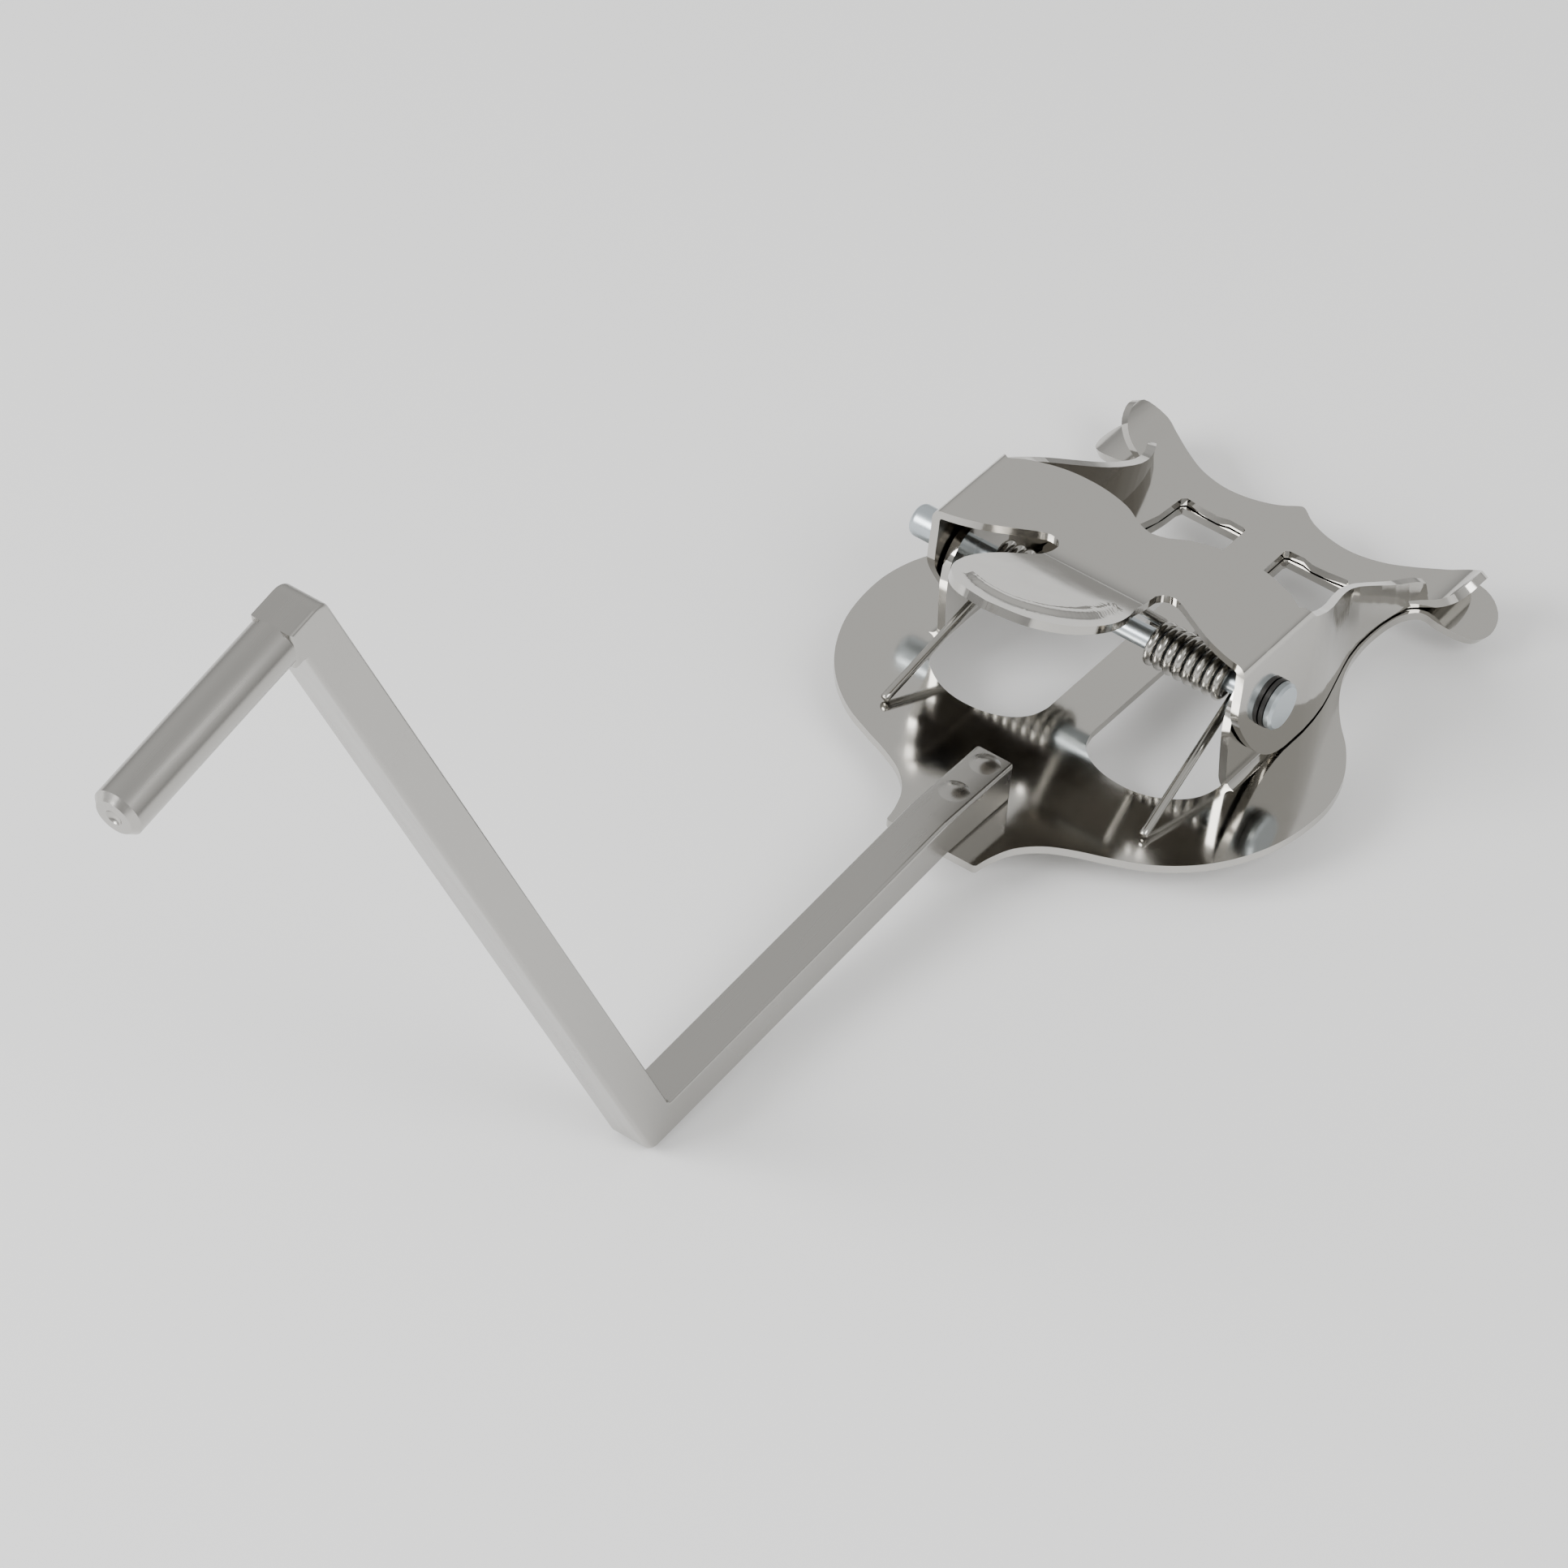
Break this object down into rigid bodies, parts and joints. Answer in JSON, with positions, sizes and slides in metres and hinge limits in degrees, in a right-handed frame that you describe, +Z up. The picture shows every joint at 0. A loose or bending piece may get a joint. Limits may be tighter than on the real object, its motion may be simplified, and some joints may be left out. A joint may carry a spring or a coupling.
{
  "type": "sheet_music_lyre",
  "caption": "Sprung lyre-shaped clip that holds small sheet music, on a cranked square-bar stem with a round shank for an instrument's lyre socket.",
  "frame": {"origin": "On the axis of the round shank, halfway along it.", "axes": "+X to the right along the hinge pin, towards its flat head; +Y from the stem towards the mouth of the clip; +Z up out of the clip's plate, the side the thumb lever is on."},
  "size_m": [0.0594, 0.2222, 0.1169],
  "materials": {
    "nickel": "polished nickel plate on pressed sheet steel",
    "bar_nickel": "nickel plate over a drawn bar, satin with fine draw marks",
    "zinc": "bright zinc plate, slightly blue",
    "dark_steel": "dark oiled steel",
    "spring_wire": "bright drawn spring wire"
  },
  "bodies": {
    "holder": {"base_plate": "nickel", "stem": "bar_nickel", "rivet_neck": "nickel", "rivet_tang": "nickel", "pivot_pin": "zinc", "pin_washer": "dark_steel", "spring_left": "spring_wire", "spring_right": "spring_wire"},
    "jaw": {"upper_jaw": "nickel"}
  },
  "joints": [
    {"name": "jaw_hinge", "type": "hinge", "parent": "holder", "child": "jaw", "pos_m": [0, 0.1678, -0.09542], "axis": [1, 0, 0], "range_deg": [0, 24], "stiffness_Nm_per_rad": 0.35, "springref_deg": -28.65, "deforming": ["spring_left", "spring_right"]}
  ]
}
